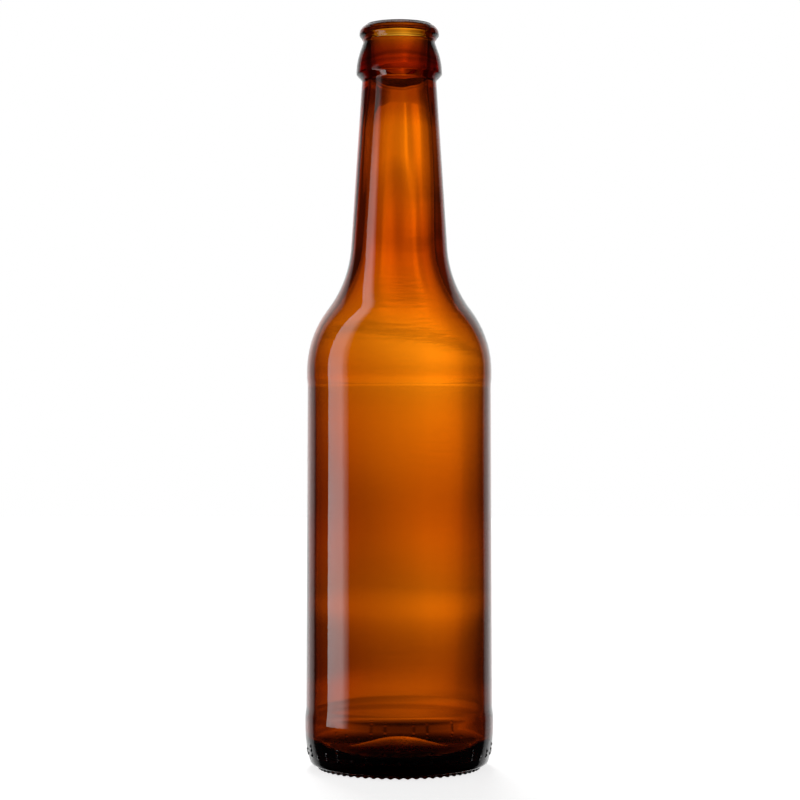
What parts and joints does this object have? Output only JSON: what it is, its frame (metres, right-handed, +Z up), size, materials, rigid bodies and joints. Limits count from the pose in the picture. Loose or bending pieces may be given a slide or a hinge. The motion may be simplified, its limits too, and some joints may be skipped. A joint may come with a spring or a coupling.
{
  "type": "longneck beer bottle",
  "caption": "Empty amber glass longneck beer bottle with a crown-cap lip and collar, a tapering neck, a recessed label panel and a knurled foot ring.",
  "frame": {"origin": "centre of the foot ring, on the surface the bottle stands on", "axes": "+Z up the bottle's axis to the mouth; the glass is a body of revolution, so +X and +Y are free"},
  "size_m": [0.0612, 0.0612, 0.2426],
  "materials": {
    "amber_glass": "clear amber soda-lime glass, smooth and glossy, slightly wavy in the neck, with light scuffs on the contact bands"
  },
  "bodies": {
    "root": {"bottle": "amber_glass"}
  },
  "joints": []
}
